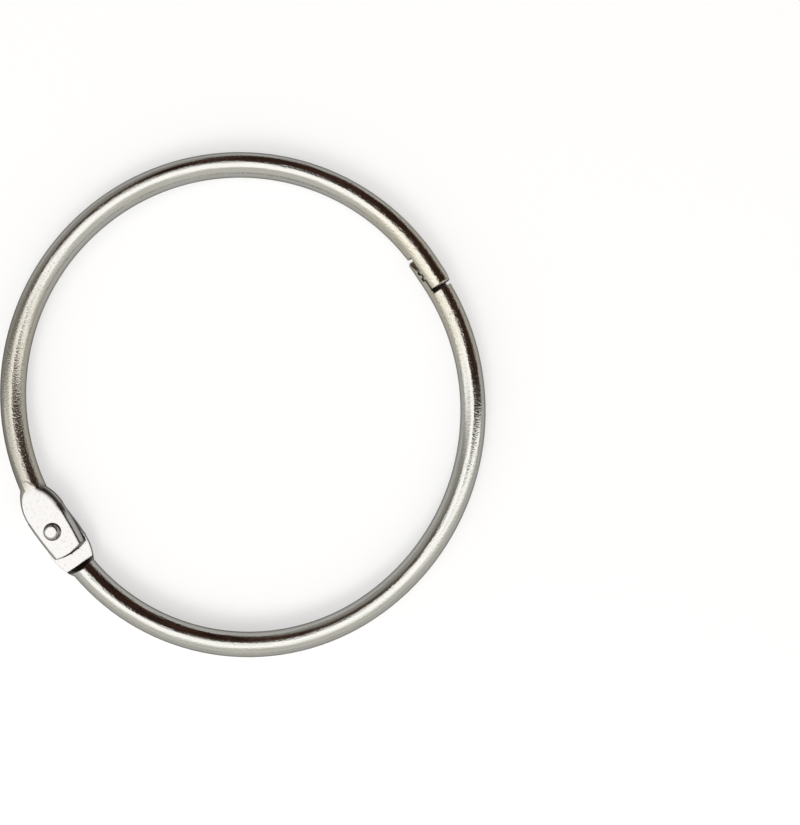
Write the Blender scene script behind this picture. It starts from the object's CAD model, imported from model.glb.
"""Dress a hinged loose-leaf binder ring for display.

The ring lies closed on a pale table: two half rings of drawn wire, plated with
bright nickel, joined by a peened rivet at one end and by a toothed lap at the
other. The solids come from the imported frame; this script gives them their
finishes, and builds the table, the studio round them and the camera above.
"""

import logging
import math
from dataclasses import dataclass
from enum import Enum

import bpy
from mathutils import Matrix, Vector

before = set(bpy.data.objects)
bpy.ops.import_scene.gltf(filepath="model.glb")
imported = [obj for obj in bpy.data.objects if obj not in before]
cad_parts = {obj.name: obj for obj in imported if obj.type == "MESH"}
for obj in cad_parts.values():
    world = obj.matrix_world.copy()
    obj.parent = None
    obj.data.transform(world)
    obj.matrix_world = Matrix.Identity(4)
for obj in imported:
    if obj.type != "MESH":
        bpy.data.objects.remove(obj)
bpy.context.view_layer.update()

LOG = logging.getLogger("binder_ring")
MM = 0.001
PER_MM = 1 / MM

Colour = tuple[float, float, float, float]
Pair = tuple[float, float]
Triple = tuple[float, float, float]
Node = bpy.types.Node
Socket = bpy.types.NodeSocket
Sockets = bpy.types.bpy_prop_collection
Tree = bpy.types.NodeTree
Number = float | Socket

STRAIGHT_UP: Triple = (0.0, 0.0, 1.0)
HINGE: Pair = (-37.5, -0.15)
CATCH: Pair = (38.4, 1.3)


def grey(level: float) -> Colour:
    """Return a neutral colour of one linear level."""
    return (level, level, level, 1.0)


class Piece(Enum):
    """The ring's separate pieces, by the names of their solids."""

    UPPER_HALF = "upper_half_ring"
    LOWER_HALF = "lower_half_ring"
    RIVET = "hinge_rivet"


class Wiring:
    """Short ways to add nodes to a tree and to join them.

    A Mix node has a set of sockets for each kind of data; the numbers are the
    places of its share, its two colours and its mixed colour.
    """

    MIX_INPUTS = (0, 6, 7)
    MIX_RESULT = 2

    def __init__(self, tree: Tree) -> None:
        """Keep the tree that the nodes go into.

        Args:
            tree: A material's, a world's or a group's node tree.
        """
        self.tree = tree

    @classmethod
    def over(cls, owner: bpy.types.Material | bpy.types.World) -> "Wiring":
        """Give a material or a world an empty node tree of its own.

        Args:
            owner: The material or the world.

        Returns:
            The wiring of its tree.
        """
        owner.use_nodes = True
        owner.node_tree.nodes.clear()
        return cls(owner.node_tree)

    def add(self, kind: str, **settings: object) -> Node:
        """Add a node of a kind.

        Args:
            kind: The node's type name, such as "ShaderNodeMath".
            **settings: Attributes to set on the new node.

        Returns:
            The new node.
        """
        node = self.tree.nodes.new(kind)
        for name, value in settings.items():
            setattr(node, name, value)
        return node

    def feed(self, socket: Socket, value: object) -> None:
        """Give an input socket a value, or link it to an output socket.

        Args:
            socket: The input socket.
            value: A constant, or the output socket that feeds it.
        """
        if isinstance(value, bpy.types.NodeSocket):
            self.tree.links.new(value, socket)
        else:
            socket.default_value = value

    def feed_all(self, node: Node, values: dict[str, object]) -> Node:
        """Give several inputs of a node their values or links.

        Args:
            node: The node.
            values: Each input's name and what feeds it.

        Returns:
            The same node.
        """
        for name, value in values.items():
            self.feed(node.inputs[name], value)
        return node

    def math(self, operation: str, *values: Number, clamp: bool = False) -> Socket:
        """Add a Math node.

        Args:
            operation: The operation's name, such as "MULTIPLY".
            *values: Its inputs, as numbers or sockets.
            clamp: Whether the result is kept between 0 and 1.

        Returns:
            The result's socket.
        """
        node = self.add("ShaderNodeMath", operation=operation, use_clamp=clamp)
        for socket, value in zip(node.inputs, values):
            self.feed(socket, value)
        return node.outputs[0]

    def vector(self, operation: str, *values: object) -> Socket:
        """Add a Vector Math node.

        Args:
            operation: The operation's name, such as "DOT_PRODUCT".
            *values: Its inputs, as vectors or sockets.

        Returns:
            The result's socket: the number for a dot product or a length.
        """
        node = self.add("ShaderNodeVectorMath", operation=operation)
        for socket, value in zip(node.inputs, values):
            self.feed(socket, value)
        number = operation in ("DOT_PRODUCT", "LENGTH", "DISTANCE")
        return node.outputs["Value" if number else "Vector"]

    def scaled(self, item: Triple | Socket, factor: Number) -> Socket:
        """Multiply a vector or a colour by one number.

        Args:
            item: The vector or colour.
            factor: The number.

        Returns:
            The result's socket.
        """
        node = self.add("ShaderNodeVectorMath", operation="SCALE")
        self.feed(node.inputs[0], item)
        self.feed(node.inputs["Scale"], factor)
        return node.outputs["Vector"]

    def coordinate(self, kind: str) -> Socket:
        """Return a coordinate of the surface, such as "Object" or "Normal"."""
        return self.add("ShaderNodeTexCoord").outputs[kind]

    def ramp(self, value: Socket, low: Number, high: Number, start: Number = 0.0,
             end: Number = 1.0) -> Socket:
        """Map a value from one span to another along a soft S curve.

        Args:
            value: The socket to map.
            low: The value that gives start.
            high: The value that gives end; it may be under low.
            start: The result at low and on its far side.
            end: The result at high and on its far side.

        Returns:
            The mapped value's socket.
        """
        node = self.add("ShaderNodeMapRange", interpolation_type="SMOOTHSTEP")
        self.feed_all(node, {"Value": value, "From Min": low, "From Max": high,
                             "To Min": start, "To Max": end})
        return node.outputs["Result"]

    def mix(self, share: Number, first: Colour | Socket,
            second: Colour | Socket) -> Socket:
        """Mix two colours.

        Args:
            share: How much of the second colour shows, from 0 to 1.
            first: The colour at 0.
            second: The colour at 1.

        Returns:
            The mixed colour's socket.
        """
        node = self.add("ShaderNodeMix", data_type="RGBA")
        for place, value in zip(self.MIX_INPUTS, (share, first, second)):
            self.feed(node.inputs[place], value)
        return node.outputs[self.MIX_RESULT]

    def noise(self, place: Socket, scale: float = 1.0, detail: float = 2.0,
              roughness: float = 0.5) -> Socket:
        """Add a Noise Texture.

        Args:
            place: The coordinate that it is read at.
            scale: Its scale.
            detail: How many finer layers it has.
            roughness: How strong the finer layers are.

        Returns:
            The noise value's socket.
        """
        node = self.add("ShaderNodeTexNoise")
        self.feed_all(node, {"Vector": place, "Scale": scale, "Detail": detail,
                             "Roughness": roughness})
        return node.outputs["Fac"]


class EffectGroup:
    """A shader node group with named inputs and outputs."""

    def __init__(self, name: str, inputs: dict[str, float], outputs: dict[str, str],
                 vectors: tuple[str, ...] = ()) -> None:
        """Make the empty group.

        Args:
            name: The group's name.
            inputs: Each number input's name and its usual value.
            outputs: Each output's name and its socket type.
            vectors: The names of its vector inputs.
        """
        self.tree = bpy.data.node_groups.new(name, "ShaderNodeTree")
        self.wiring = Wiring(self.tree)
        for label, usual in inputs.items():
            socket = self.tree.interface.new_socket(label, in_out="INPUT",
                                                    socket_type="NodeSocketFloat")
            socket.default_value = usual
        for label in vectors:
            self.tree.interface.new_socket(label, in_out="INPUT",
                                           socket_type="NodeSocketVector")
        for label, kind in outputs.items():
            self.tree.interface.new_socket(label, in_out="OUTPUT", socket_type=kind)
        self.source = self.wiring.add("NodeGroupInput").outputs
        self.result = self.wiring.add("NodeGroupOutput").inputs

    def place(self, wiring: Wiring, **values: object) -> Node:
        """Use the group in a material.

        Args:
            wiring: The material's wiring.
            **values: Inputs by name, with an underscore for each space.

        Returns:
            The group's node.
        """
        node = wiring.add("ShaderNodeGroup", node_tree=self.tree)
        return wiring.feed_all(node, {label.replace("_", " "): value
                                      for label, value in values.items()})


@dataclass(frozen=True)
class WireLine:
    """The centre line of one half ring's wire, in millimetres.

    Each half is two quarter bends on the same X, with straight ends along Y. The
    side is 1 for the half towards +Y and -1 for the other.
    """

    side: float
    centre_x: float
    hinge_bend_y: float
    hinge_bend_r: float
    catch_bend_y: float
    catch_bend_r: float
    level: float = 3.3

    def place(self, w: Wiring, coordinates: EffectGroup) -> Socket:
        """Lay the wire's own coordinates into a material.

        Args:
            w: The material's wiring.
            coordinates: The group that follows the wire.

        Returns:
            The place along, across and above the wire's line.
        """
        return coordinates.place(
            w, Side=self.side, Centre_X=self.centre_x,
            Hinge_Bend_Y=self.hinge_bend_y, Hinge_Bend_R=self.hinge_bend_r,
            Catch_Bend_Y=self.catch_bend_y, Catch_Bend_R=self.catch_bend_r,
            Level=self.level).outputs["Place"]


UPPER_LINE = WireLine(side=1.0, centre_x=1.15, hinge_bend_y=1.45, hinge_bend_r=38.3,
                      catch_bend_y=2.45, catch_bend_r=37.3)
LOWER_LINE = WireLine(side=-1.0, centre_x=-1.45, hinge_bend_y=-4.05, hinge_bend_r=35.7,
                      catch_bend_y=-0.25, catch_bend_r=39.5)


@dataclass(frozen=True)
class Patch:
    """A round patch of the ring seen from above, in millimetres.

    Its mark is full within the inner distance of the centre and gone past the outer.
    """

    centre: Pair
    outer: float
    inner: float

    def mask(self, w: Wiring) -> Socket:
        """Mark the metal in the patch.

        Args:
            w: The material's wiring.

        Returns:
            A mask: 1 in the patch, fading to 0 away from it.
        """
        spot = w.vector("MULTIPLY", w.coordinate("Object"), (PER_MM, PER_MM, 0.0))
        away = w.vector("DISTANCE", spot, (*self.centre, 0.0))
        return w.ramp(away, self.outer, self.inner)


def wire_coordinates_group() -> EffectGroup:
    """Build the group that lays a pattern along and round the bent wire.

    Returns:
        The group. It puts out the place along, across and above the wire's line.
    """
    group = EffectGroup(
        "Wire coordinates",
        {"Side": 1.0, "Centre X": 0.0, "Hinge Bend Y": 0.0, "Hinge Bend R": 38.0,
         "Catch Bend Y": 0.0, "Catch Bend R": 38.0, "Level": 3.3},
        {"Place": "NodeSocketVector"},
    )
    w, source = group.wiring, group.source
    spot = w.vector("MULTIPLY", w.coordinate("Object"), (PER_MM, PER_MM, PER_MM))
    split = w.add("ShaderNodeSeparateXYZ")
    w.feed(split.inputs[0], spot)
    x = w.math("SUBTRACT", split.outputs["X"], source["Centre X"])
    past_middle = w.math("GREATER_THAN", x, 0.0)

    def choose(hinge: str, catch: str) -> Socket:
        """Pick the hinge bend's value or the catch bend's, by the side of the middle."""
        span = w.math("SUBTRACT", source[catch], source[hinge])
        return w.math("MULTIPLY_ADD", span, past_middle, source[hinge])

    bend_y = choose("Hinge Bend Y", "Catch Bend Y")
    bend_r = choose("Hinge Bend R", "Catch Bend R")
    y = w.math("MULTIPLY", w.math("SUBTRACT", split.outputs["Y"], bend_y), source["Side"])
    bent_y = w.math("MAXIMUM", y, 0.0)
    straight = w.math("MINIMUM", y, 0.0)
    from_centre = w.math("SQRT", w.math("ADD", w.math("MULTIPLY", x, x),
                                        w.math("MULTIPLY", bent_y, bent_y)))
    turn = w.math("ARCTAN2", w.math("ABSOLUTE", x), bent_y)
    along = w.math("MULTIPLY", w.math("SIGN", x),
                   w.math("SUBTRACT", w.math("MULTIPLY", turn, bend_r), straight))
    across = w.math("SUBTRACT", from_centre, bend_r)
    above = w.math("SUBTRACT", split.outputs["Z"], source["Level"])
    joined = w.add("ShaderNodeCombineXYZ")
    for socket, value in zip(joined.inputs, (along, across, above)):
        w.feed(socket, value)
    w.feed(group.result["Place"], joined.outputs[0])
    return group


@dataclass(frozen=True)
class PlatedGrain:
    """The patterns in plated metal: draw lines, fine grain, clouding and small pits.

    Draw lines run along the wire; where the metal was pressed, they give way to grain
    and pits. Scales are in repeats to a millimetre, and a scale of three numbers is
    along, across and above the wire's line.
    """

    line_scale: Triple = (0.16, 2.6, 2.6)
    line_detail: float = 2.0
    grain_scale: float = 3.4
    grain_detail: float = 1.0
    cloud_scale: Triple = (0.12, 0.45, 0.45)
    cloud_detail: float = 3.0
    cloud_roughness: float = 0.55
    cloud_span: Pair = (0.40, 0.62)
    cloud_grain: Pair = (0.3, 0.8)
    pressed_grain: float = 0.3
    dull_grain: float = 0.6
    dull_roughness: float = 0.10
    dull_side: Pair = (-0.6, 0.9)
    dull_shade: Pair = (0.10, 0.50)
    pit_scale: float = 2.4
    pit_detail: float = 3.0
    pit_roughness: float = 0.65
    pit_span: Pair = (0.56, 0.70)
    pit_shade: float = 0.16

    def group(self) -> EffectGroup:
        """Build the node group of the patterns.

        Returns:
            The group. It puts out a tone, a roughness and a height.
        """
        group = EffectGroup(
            "Plated grain",
            {"Line Strength": 1.0, "Grain Strength": 0.6, "Pressed": 0.0, "Worn": 0.0,
             "Dull": 0.0, "Tone Spread": 0.06, "Low Roughness": 0.1,
             "High Roughness": 0.25},
            {"Tone": "NodeSocketFloat", "Roughness": "NodeSocketFloat",
             "Height": "NodeSocketFloat"},
            vectors=("Place",),
        )
        w, source = group.wiring, group.source
        clouds = w.noise(w.vector("MULTIPLY", source["Place"], self.cloud_scale),
                         detail=self.cloud_detail, roughness=self.cloud_roughness)
        dull = w.math("MULTIPLY", source["Dull"],
                      w.math("SUBTRACT", 1.0, source["Pressed"]))
        marks = w.math("ADD", self.lines(w, source),
                       self.grain(w, source, clouds, dull))
        w.feed(group.result["Height"], marks)
        share = w.math("ADD", marks, clouds, clamp=True)
        span = w.math("SUBTRACT", source["High Roughness"], source["Low Roughness"])
        w.feed(group.result["Roughness"],
               w.math("MULTIPLY_ADD", dull, self.dull_roughness,
                      w.math("MULTIPLY_ADD", span, share, source["Low Roughness"])))
        tone = w.math("MULTIPLY_ADD", w.math("SUBTRACT", share, 0.5),
                      source["Tone Spread"], 1.0)
        bright = w.math("SUBTRACT", 1.0, self.shade(w, source, dull))
        w.feed(group.result["Tone"], w.math("MULTIPLY", tone, bright))
        return group

    def lines(self, w: Wiring, source: Sockets) -> Socket:
        """Draw the lines left by the die, where the wire wasn't pressed.

        Args:
            w: The group's wiring.
            source: The group's inputs.

        Returns:
            The lines' height, about zero.
        """
        lines = w.noise(w.vector("MULTIPLY", source["Place"], self.line_scale),
                        detail=self.line_detail)
        drawn = w.math("SUBTRACT", 1.0, source["Pressed"])
        return w.math("MULTIPLY", w.math("SUBTRACT", lines, 0.5),
                      w.math("MULTIPLY", source["Line Strength"], drawn))

    def grain(self, w: Wiring, source: Sockets, clouds: Socket, dull: Socket) -> Socket:
        """Add the fine grain, in patches and where the metal is handled or dull.

        Args:
            w: The group's wiring.
            source: The group's inputs.
            clouds: The clouding that breaks the grain into patches.
            dull: The mask of dull metal.

        Returns:
            The grain's height, about zero.
        """
        grain = w.noise(source["Place"], self.grain_scale, self.grain_detail)
        handled = w.math("MULTIPLY_ADD", source["Pressed"], self.pressed_grain,
                         source["Worn"])
        patchy = w.math("ADD", w.ramp(clouds, *self.cloud_span, *self.cloud_grain),
                        w.math("MULTIPLY_ADD", dull, self.dull_grain, handled))
        return w.math("MULTIPLY", w.math("SUBTRACT", grain, 0.5),
                      w.math("MULTIPLY", source["Grain Strength"], patchy))

    def shade(self, w: Wiring, source: Sockets, dull: Socket) -> Socket:
        """Work out how much the dull metal and the pits darken the plating.

        Args:
            w: The group's wiring.
            source: The group's inputs.
            dull: The mask of dull metal, which is darkest on the ring's outer side.

        Returns:
            The share of the tone that is taken away.
        """
        across = w.vector("DOT_PRODUCT", source["Place"], (0.0, 1.0, 0.0))
        outer = w.ramp(across, *self.dull_side, *self.dull_shade)
        pits = w.ramp(w.noise(source["Place"], self.pit_scale, self.pit_detail,
                              self.pit_roughness), *self.pit_span, 0.0, self.pit_shade)
        return w.math("ADD", w.math("MULTIPLY", dull, outer),
                      w.math("MULTIPLY", pits, source["Pressed"]))


@dataclass(frozen=True)
class NickelPlate:
    """Bright nickel plate over drawn and pressed steel.

    Lengths are in millimetres. A pair is the value at which a mark starts and the
    value at which it is full; bends and slopes are given by their cosines.
    """

    name: str
    line: WireLine
    colour: Colour = (0.505, 0.50, 0.475, 1.0)
    worn_colour: Colour = (0.535, 0.505, 0.440, 1.0)
    pressed_colour: Colour = (0.502, 0.492, 0.487, 1.0)
    edge_tint: Colour = (0.30, 0.29, 0.27, 1.0)
    pressed: Patch = Patch(HINGE, 9.5, 7.0)
    worn: Patch = Patch(CATCH, 24.0, 5.0)
    dull: Patch = Patch((-33.0, 20.0), 30.0, 9.0)
    dull_share: float = 0.8
    line_strength: float = 0.8
    grain_strength: float = 0.95
    tone_spread: float = 0.10
    low_roughness: float = 0.07
    high_roughness: float = 0.16
    relief: float = 0.045
    edge_radius: float = 0.16
    edge_samples: int = 6
    inner: Patch = Patch(HINGE, 11.0, 9.0)
    inner_side: Pair = (-37.0, -36.2)
    inner_radius: float = 0.38
    shoulder: Patch = Patch((-34.4, 5.4), 4.2, 1.8)
    shoulder_radius: float = 1.0
    line_bend: Pair = (0.995, 0.94)
    line_share: float = 0.9
    crescent: Patch = Patch((-34.7, 4.3), 3.8, 2.2)
    crescent_top: Pair = (0.985, 0.94)
    crescent_foot: Pair = (0.25, 0.45)
    crescent_share: float = 1.0
    wire_r: float = 2.1
    cut_depth: Pair = (0.15, 0.40)
    cut_slope: Pair = (0.95, 0.80)
    cut_colour: Colour = (0.085, 0.072, 0.060, 1.0)
    cut_roughness: float = 0.45

    def material(self, coordinates: EffectGroup, grain: EffectGroup) -> bpy.types.Material:
        """Build the finish.

        Args:
            coordinates: The group that follows the wire.
            grain: The group of plated grain.

        Returns:
            The finished material.
        """
        material = bpy.data.materials.new(self.name)
        w = Wiring.over(material)
        place = self.line.place(w, coordinates)
        pressed = self.pressed.mask(w)
        worn = self.worn.mask(w)
        dull = w.math("MULTIPLY", self.dull.mask(w), self.dull_share)
        surface = grain.place(
            w, Place=place, Pressed=pressed, Worn=worn, Dull=dull,
            Line_Strength=self.line_strength, Grain_Strength=self.grain_strength,
            Tone_Spread=self.tone_spread, Low_Roughness=self.low_roughness,
            High_Roughness=self.high_roughness).outputs
        rounded = w.add("ShaderNodeBevel", samples=self.edge_samples)
        w.feed(rounded.inputs["Radius"], self.rounding(w))
        handled = w.mix(w.math("MAXIMUM", worn, dull), self.colour, self.worn_colour)
        tint = w.scaled(w.mix(pressed, handled, self.pressed_colour), surface["Tone"])
        cut = w.math("MAXIMUM", self.cut_share(w, place),
                     self.press_line(w, rounded.outputs[0]))
        bump = w.feed_all(w.add("ShaderNodeBump"), {
            "Normal": rounded.outputs[0],
            "Distance": self.relief * MM,
            "Height": surface["Height"],
        })
        shader = w.feed_all(w.add("ShaderNodeBsdfPrincipled"), {
            "Base Color": w.mix(cut, tint, self.cut_colour),
            "Metallic": 1.0,
            "Specular Tint": self.edge_tint,
            "Roughness": w.math("MAXIMUM", surface["Roughness"],
                                w.math("MULTIPLY", cut, self.cut_roughness)),
            "Normal": bump.outputs[0],
        })
        w.feed(w.add("ShaderNodeOutputMaterial").inputs["Surface"], shader.outputs[0])
        return material

    def inner_share(self, w: Wiring) -> Socket:
        """Mark the hinge's inner side, towards the ring's middle.

        Args:
            w: The material's wiring.

        Returns:
            A mask: 1 on the inner side of the lugs, and 0 elsewhere.
        """
        inward = w.vector("DOT_PRODUCT", w.coordinate("Object"), (PER_MM, 0.0, 0.0))
        return w.math("MULTIPLY", w.ramp(inward, *self.inner_side), self.inner.mask(w))

    def press_line(self, w: Wiring, rounded: Socket) -> Socket:
        """Mark the dark line that the press left along the hinge's inner edges.

        Args:
            w: The material's wiring.
            rounded: The surface's direction with its edges rounded.

        Returns:
            A mask: the line on the rounded inner edges, and the wider crescent where
            the neck runs into the lug.
        """
        flat = w.add("ShaderNodeNewGeometry").outputs["Normal"]
        bent = w.ramp(w.vector("DOT_PRODUCT", rounded, flat), *self.line_bend)
        line = w.math("MULTIPLY", bent,
                      w.math("MULTIPLY", self.inner_share(w), self.line_share))
        facing = w.vector("DOT_PRODUCT", w.coordinate("Normal"), STRAIGHT_UP)
        steep = w.math("MULTIPLY", w.ramp(facing, *self.crescent_top),
                       w.ramp(facing, *self.crescent_foot))
        crescent = w.math("MULTIPLY", self.crescent.mask(w),
                          w.math("MULTIPLY", steep, self.crescent_share))
        return w.math("MAXIMUM", line, crescent)

    def rounding(self, w: Wiring) -> Socket:
        """Work out how far the press rounded the edges.

        Args:
            w: The material's wiring.

        Returns:
            The edges' radius in metres: small, larger on the hinge's inner side, and
            with a value of its own at the shoulder between a lug and its wire.
        """
        edge = w.ramp(self.inner_share(w), 0.0, 1.0,
                      self.edge_radius * MM, self.inner_radius * MM)
        return w.ramp(self.shoulder.mask(w), 0.0, 1.0, edge, self.shoulder_radius * MM)

    def cut_share(self, w: Wiring, place: Socket) -> Socket:
        """Mark the steep faces that were cut into the wire, where plating is thin.

        Args:
            w: The material's wiring.
            place: The place along, across and above the wire's line.

        Returns:
            A mask: 1 on steep faces inside the wire's round, and 0 elsewhere.
        """
        out = w.vector("LENGTH", w.vector("MULTIPLY", place, (0.0, 1.0, 1.0)))
        inside = w.ramp(w.math("SUBTRACT", self.wire_r, out), *self.cut_depth)
        facing = w.vector("DOT_PRODUCT", w.coordinate("Normal"), STRAIGHT_UP)
        steep = w.ramp(w.math("ABSOLUTE", facing), *self.cut_slope)
        return w.math("MULTIPLY", inside, steep)


UPPER_PLATE = NickelPlate("Bright nickel, upper half", UPPER_LINE)
LOWER_PLATE = NickelPlate("Bright nickel, lower half", LOWER_LINE,
                          shoulder=Patch((-34.4, -5.4), 4.2, 1.8), shoulder_radius=0.38,
                          dull=Patch(CATCH, 30.0, 9.0), dull_share=0.15,
                          crescent_share=0.0)
RIVET_PLATE = NickelPlate("Bright nickel, peened rivet", LOWER_LINE,
                          edge_radius=0.30, inner_radius=0.30, shoulder_radius=0.30,
                          inner_side=(-38.2, -37.4), crescent_share=0.0)


@dataclass(frozen=True)
class BinderRing:
    """The ring: two half rings and the rivet that joins them, with their finishes."""

    upper: NickelPlate = UPPER_PLATE
    lower: NickelPlate = LOWER_PLATE
    rivet: NickelPlate = RIVET_PLATE
    grain: PlatedGrain = PlatedGrain()

    def build(self) -> dict[Piece, str]:
        """Dress every piece of the ring.

        Returns:
            Each piece and the name of its finish.
        """
        coordinates = wire_coordinates_group()
        grain = self.grain.group()
        finishes = {Piece.UPPER_HALF: self.upper, Piece.LOWER_HALF: self.lower,
                    Piece.RIVET: self.rivet}
        for piece, finish in finishes.items():
            self.dress(piece, finish.material(coordinates, grain))
        return {piece: finish.name for piece, finish in finishes.items()}

    def dress(self, piece: Piece, material: bpy.types.Material) -> None:
        """Put a finish on a solid, in place of the plain one it was packed with.

        Args:
            piece: The solid.
            material: Its new finish.
        """
        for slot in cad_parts[piece.value].material_slots:
            slot.material = material


@dataclass(frozen=True)
class Table:
    """The pale surface that the ring lies on, in metres.

    The lifts are the glow that brings it to white: one to the eye, and a smaller one
    in what the metal mirrors.
    """

    half_side: float = 3.0
    colour: Colour = grey(0.46)
    lift: float = 0.54
    mirrored_lift: float = 0.26

    def build(self) -> bpy.types.Object:
        """Model the table's top.

        Returns:
            The table.
        """
        bpy.ops.object.select_all(action="DESELECT")
        bpy.ops.mesh.primitive_plane_add(size=2 * self.half_side, location=(0, 0, 0))
        table = bpy.context.active_object
        table.name = "table_top"
        table.data.materials.append(self.finish())
        return table

    def finish(self) -> bpy.types.Material:
        """Build the matt white finish, which shows white to the eye and in the metal.

        Returns:
            The material.
        """
        material = bpy.data.materials.new("Matt white table")
        w = Wiring.over(material)
        matt = w.add("ShaderNodeBsdfDiffuse")
        w.feed(matt.inputs["Color"], self.colour)
        path = w.add("ShaderNodeLightPath").outputs
        mirrored = w.math("MAXIMUM", path["Is Glossy Ray"], path["Is Transmission Ray"])
        glow = w.add("ShaderNodeEmission")
        w.feed(glow.inputs["Strength"],
               w.math("MULTIPLY_ADD", path["Is Camera Ray"], self.lift,
                      w.math("MULTIPLY", mirrored, self.mirrored_lift)))
        both = w.add("ShaderNodeAddShader")
        w.feed(both.inputs[0], matt.outputs[0])
        w.feed(both.inputs[1], glow.outputs[0])
        w.feed(w.add("ShaderNodeOutputMaterial").inputs["Surface"], both.outputs[0])
        return material


@dataclass(frozen=True)
class Camera:
    """The camera over the ring, looking straight down.

    The turn is in degrees and the distances in millimetres; right and up are the
    view's own directions on the table.
    """

    turn: float = 33.7
    right: float = 26.27
    up: float = -1.25
    height: float = 231.4
    focal_length: float = 59.78
    sensor_width: float = 36.0
    nearest: float = 5.0
    farthest: float = 50000.0

    @property
    def right_way(self) -> Vector:
        """The view's rightward direction on the table."""
        angle = math.radians(self.turn)
        return Vector((math.cos(angle), -math.sin(angle), 0.0))

    @property
    def up_way(self) -> Vector:
        """The view's upward direction on the table."""
        angle = math.radians(self.turn)
        return Vector((math.sin(angle), math.cos(angle), 0.0))

    def build(self) -> bpy.types.Object:
        """Place the camera and make it the scene's own.

        Returns:
            The camera.
        """
        lens = bpy.data.cameras.new("camera")
        lens.sensor_width = self.sensor_width
        lens.lens = self.focal_length
        lens.clip_start = self.nearest * MM
        lens.clip_end = self.farthest * MM
        camera = bpy.data.objects.new("camera", lens)
        bpy.context.scene.collection.objects.link(camera)
        spot = (self.right_way * self.right + self.up_way * self.up) * MM
        camera.location = (spot.x, spot.y, self.height * MM)
        camera.rotation_euler = (0.0, 0.0, -math.radians(self.turn))
        bpy.context.scene.camera = camera
        return camera


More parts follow.
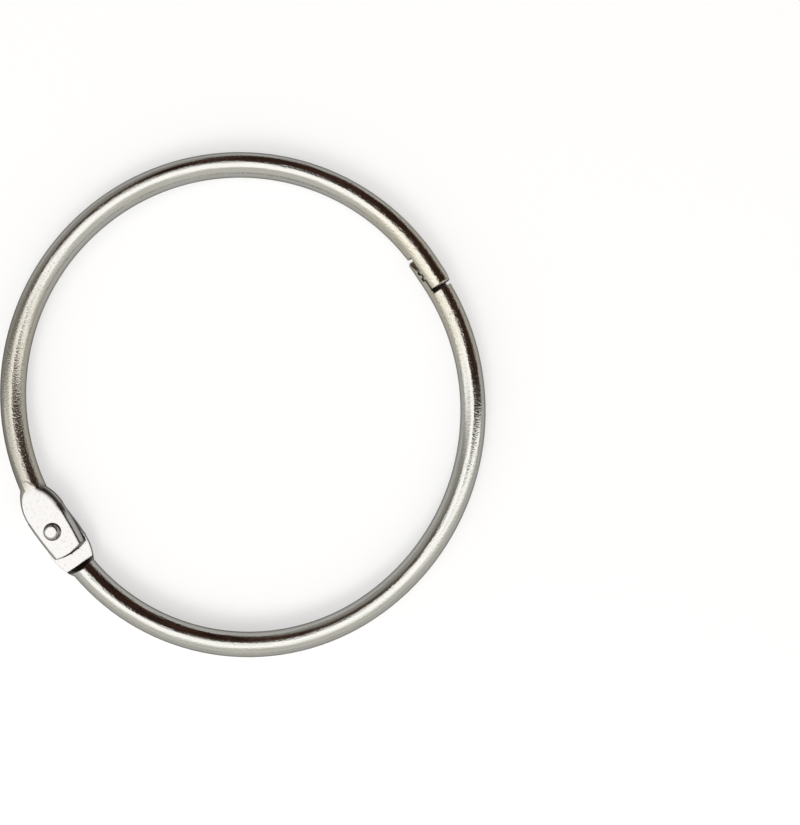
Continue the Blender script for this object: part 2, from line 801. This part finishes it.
@dataclass(frozen=True)
class Studio:
    """The room round the table: a long ceiling light, grey walls and one dark side.

    Directions are the view's own, in degrees from straight up. The ceiling light
    reaches from its near edge, towards the view's foot, to a far edge that bows away
    from the middle; the dark side begins past it, is cluttered, and turns to dusk on
    the left. A greyer horizon runs round the rest. The lamp's place is in metres.
    """

    camera: Camera
    ceiling: Colour = (1.93, 1.92, 1.89, 1.0)
    walls: Colour = (0.88, 0.87, 0.80, 1.0)
    shade: Triple = (0.052, 0.027, 0.019)
    dusk: Colour = (0.44, 0.43, 0.39, 1.0)
    dusk_side: Pair = (-25.0, -65.0)
    clutter_scale: float = 8.0
    clutter_detail: float = 2.0
    clutter_span: Pair = (0.38, 0.62)
    clutter: Pair = (0.10, 2.2)
    horizon: Colour = (0.62, 0.61, 0.56, 1.0)
    horizon_rise: Pair = (0.26, 0.08)
    horizon_end: Pair = (0.75, 0.55)
    near_edge: float = -28.0
    near_blur: float = 13.0
    bow_middle: float = -11.0
    bow_half_width: Pair = (24.0, 5.0)
    right_edge: Pair = (-12.0, 1.0)
    left_edge: Pair = (-14.0, 18.0)
    bow_edge: Pair = (0.0, 33.0)
    bow_edge_span: Pair = (-30.0, 12.0)
    lamp_way: Pair = (-0.10, -0.45)
    lamp_height: float = 0.60
    lamp_size: float = 0.30
    lamp_power: float = 1.9

    def build(self) -> None:
        """Build the room's light and the key lamp."""
        self.build_world()
        self.build_lamp()

    def build_world(self) -> None:
        """Paint the room by direction and keep its background white to the eye."""
        world = bpy.data.worlds.new("studio")
        bpy.context.scene.world = world
        w = Wiring.over(world)
        path = w.add("ShaderNodeLightPath").outputs
        light = w.add("ShaderNodeBackground")
        w.feed(light.inputs["Color"],
               w.mix(path["Is Camera Ray"], self.room_colour(w), grey(1.0)))
        w.feed(w.add("ShaderNodeOutputWorld").inputs["Surface"], light.outputs[0])

    def room_colour(self, w: Wiring) -> Socket:
        """Work out the room's colour in each direction.

        Args:
            w: The world's wiring.

        Returns:
            The colour's socket.
        """
        way = w.coordinate("Generated")
        right = w.vector("DOT_PRODUCT", way, self.camera.right_way)
        up = w.vector("DOT_PRODUCT", way, self.camera.up_way)
        high = w.vector("DOT_PRODUCT", way, STRAIGHT_UP)
        degrees = math.degrees(1.0)
        lean_up = w.math("MULTIPLY", w.math("ARCTAN2", up, high), degrees)
        lean_right = w.math("MULTIPLY", w.math("ARCTAN2", right, high), degrees)
        near = w.ramp(lean_up, self.near_edge - self.near_blur,
                      self.near_edge + self.near_blur)
        far = w.ramp(lean_up, *self.far_edge(w, lean_right))
        overhead = w.mix(near, self.walls, self.ceiling)
        colour = w.mix(far, overhead, self.dark_side(w, way, lean_right))
        horizon = w.math("MULTIPLY", w.ramp(high, *self.horizon_rise),
                         w.ramp(up, *self.horizon_end))
        return w.mix(horizon, colour, self.horizon)

    def far_edge(self, w: Wiring, lean_right: Socket) -> tuple[Socket, Socket]:
        """Work out where the ceiling light gives way to the dark side.

        Args:
            w: The world's wiring.
            lean_right: The direction's lean to the right, in degrees.

        Returns:
            The upward leans at which the dark side starts and is full.
        """
        from_bow = w.math("ABSOLUTE", w.math("SUBTRACT", lean_right, self.bow_middle))
        bow = w.ramp(from_bow, *self.bow_half_width)
        sideways = w.ramp(lean_right, *self.bow_edge_span)
        start, full = (
            w.ramp(bow, 0.0, 1.0, w.ramp(sideways, 0.0, 1.0, left, right), middle)
            for left, right, middle in zip(self.left_edge, self.right_edge, self.bow_edge))
        return start, full

    def dark_side(self, w: Wiring, way: Socket, lean_right: Socket) -> Socket:
        """Paint the dark side: brown clutter, with dusk on the left.

        Args:
            w: The world's wiring.
            way: The direction.
            lean_right: Its lean to the right, in degrees.

        Returns:
            The colour's socket.
        """
        noise = w.noise(way, self.clutter_scale, self.clutter_detail)
        clutter = w.ramp(noise, *self.clutter_span, *self.clutter)
        return w.mix(w.ramp(lean_right, *self.dusk_side), w.scaled(self.shade, clutter),
                     self.dusk)

    def build_lamp(self) -> None:
        """Hang one soft lamp above the view's foot."""
        lamp = bpy.data.lights.new("key_lamp", "AREA")
        lamp.shape = "SQUARE"
        lamp.size = self.lamp_size
        lamp.energy = self.lamp_power
        holder = bpy.data.objects.new("key_lamp", lamp)
        bpy.context.scene.collection.objects.link(holder)
        right, up = self.lamp_way
        spot = self.camera.right_way * right + self.camera.up_way * up
        holder.location = (spot.x, spot.y, self.lamp_height)
        aim = -holder.location
        holder.rotation_euler = aim.to_track_quat("-Z", "Y").to_euler()
        holder.visible_glossy = False


def main() -> None:
    """Build the ring's finishes, the table, the camera and the studio."""
    bpy.ops.object.select_all(action="DESELECT")
    for piece, finish in BinderRing().build().items():
        LOG.info("%s: %s", piece.value, finish)
    LOG.info("%s: staged", Table().build().name)
    camera = Camera()
    camera.build()
    Studio(camera).build()
    bpy.context.scene.view_settings.view_transform = "Standard"


if __name__ == "__main__":
    logging.basicConfig(level=logging.INFO)
    main()
